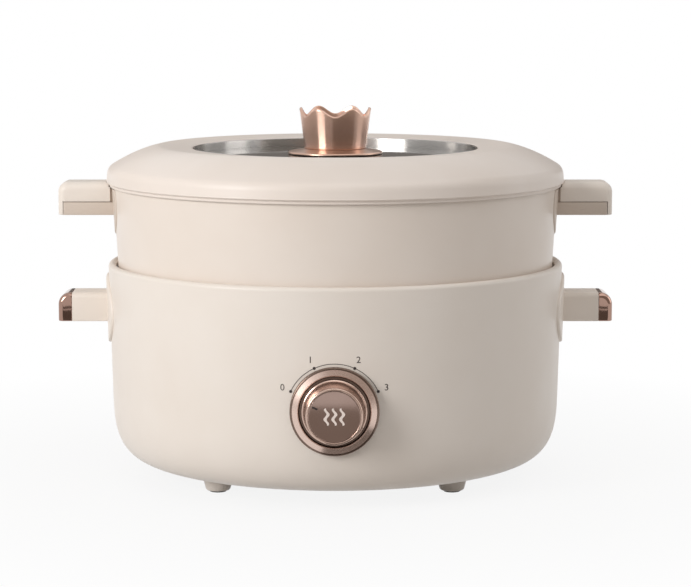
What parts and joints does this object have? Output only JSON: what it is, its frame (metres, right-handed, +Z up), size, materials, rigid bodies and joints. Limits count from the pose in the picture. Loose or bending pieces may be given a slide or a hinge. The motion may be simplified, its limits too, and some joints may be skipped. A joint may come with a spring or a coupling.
{
  "type": "multicooker",
  "caption": "Round electric multicooker: heated base with a rotary heat dial, lift-out pot with side grips and a lift-off glass lid with a crown-shaped knob.",
  "frame": {"origin": "middle of the bounding box's footprint, on the plane that the feet stand on", "axes": "+Z up, -Y to the front where the dial faces, +X to the right as seen from the front"},
  "size_m": [0.328, 0.2858, 0.2168],
  "materials": {
    "base_cream": "satin moulded cream plastic",
    "pot_cream": "satin cream coating on cast aluminium",
    "lid_cream": "satin moulded cream plastic",
    "grip_cream": "satin moulded cream plastic",
    "insert_cream": "darker cream plastic",
    "rose_gold": "polished rose-gold plating",
    "dial_metal": "brushed, rose-tinted",
    "mirror_face": "mirror, rose-tinted",
    "steel_trim": "polished stainless steel",
    "glass": "clear tempered glass",
    "sheet_metal": "plain sheet",
    "cast_plate": "machined casting",
    "element_steel": "oxidised tube",
    "screw_steel": "zinc-plated",
    "silicone": "translucent white silicone",
    "rubber": "dark grey rubber",
    "black_plastic": "black moulded plastic",
    "cover_plastic": "grey moulded plastic",
    "brass": "plain brass",
    "ceramic": "white ceramic",
    "wire": "insulated wire"
  },
  "bodies": {
    "base": {"base_shell": "base_cream", "base_rim": "base_cream", "base_liner": "sheet_metal", "bottom_cover": "cover_plastic", "cover_screws": "screw_steel", "base_feet": "base_cream", "foot_pads": "rubber", "base_handle_left": "grip_cream", "base_handle_right": "grip_cream", "handle_cap_left": "rose_gold", "handle_cap_right": "rose_gold", "base_handle_screws": "screw_steel", "heating_plate": "cast_plate", "heating_element": "element_steel", "plate_posts": "ceramic", "plate_screws": "screw_steel", "sensor_housing": "black_plastic", "housing_screws": "screw_steel", "sensor_spring": "screw_steel", "thermal_fuse": "ceramic", "fuse_clip": "screw_steel", "switch_body": "black_plastic", "switch_nut": "brass", "switch_terminals": "brass", "dial_bezel": "dial_metal", "power_inlet": "black_plastic", "inlet_pins": "brass", "wiring": "wire"},
    "dial": {"dial_knob": "dial_metal", "dial_face": "mirror_face", "switch_shaft": "brass"},
    "sensor": {"sensor_cap": "sheet_metal", "sensor_thermostat": "black_plastic"},
    "pot": {"pot_vessel": "pot_cream", "pot_handle_left": "grip_cream", "pot_handle_right": "grip_cream", "pot_insert_left": "insert_cream", "pot_insert_right": "insert_cream", "pot_brackets": "steel_trim", "pot_handle_screws": "screw_steel"},
    "lid": {"lid_ring": "lid_cream", "lid_frame": "lid_cream", "lid_seal": "silicone", "lid_glass": "glass", "glass_trim": "steel_trim", "lid_screws": "screw_steel", "crown_knob": "rose_gold", "crown_flange": "rose_gold", "knob_gasket": "silicone", "knob_washer": "steel_trim", "knob_screw": "screw_steel"}
  },
  "joints": [
    {"name": "dial_turn", "type": "hinge", "parent": "base", "child": "dial", "pos_m": [0, -0.12558, 0.058], "axis": [0, 1, 0], "range_deg": [0, 132]},
    {"name": "sensor_press", "type": "slide", "parent": "base", "child": "sensor", "axis": [0, 0, 1], "range_m": [-0.003, 0], "stiffness_N_per_m": 300, "springref_m": 0.004, "deforming": ["sensor_spring"]},
    {"name": "pot_lift", "type": "slide", "parent": "base", "child": "pot", "axis": [0, 0, 1], "range_m": [0, 0.11]},
    {"name": "lid_lift", "type": "slide", "parent": "pot", "child": "lid", "axis": [0, 0, 1], "range_m": [0, 0.06]}
  ]
}
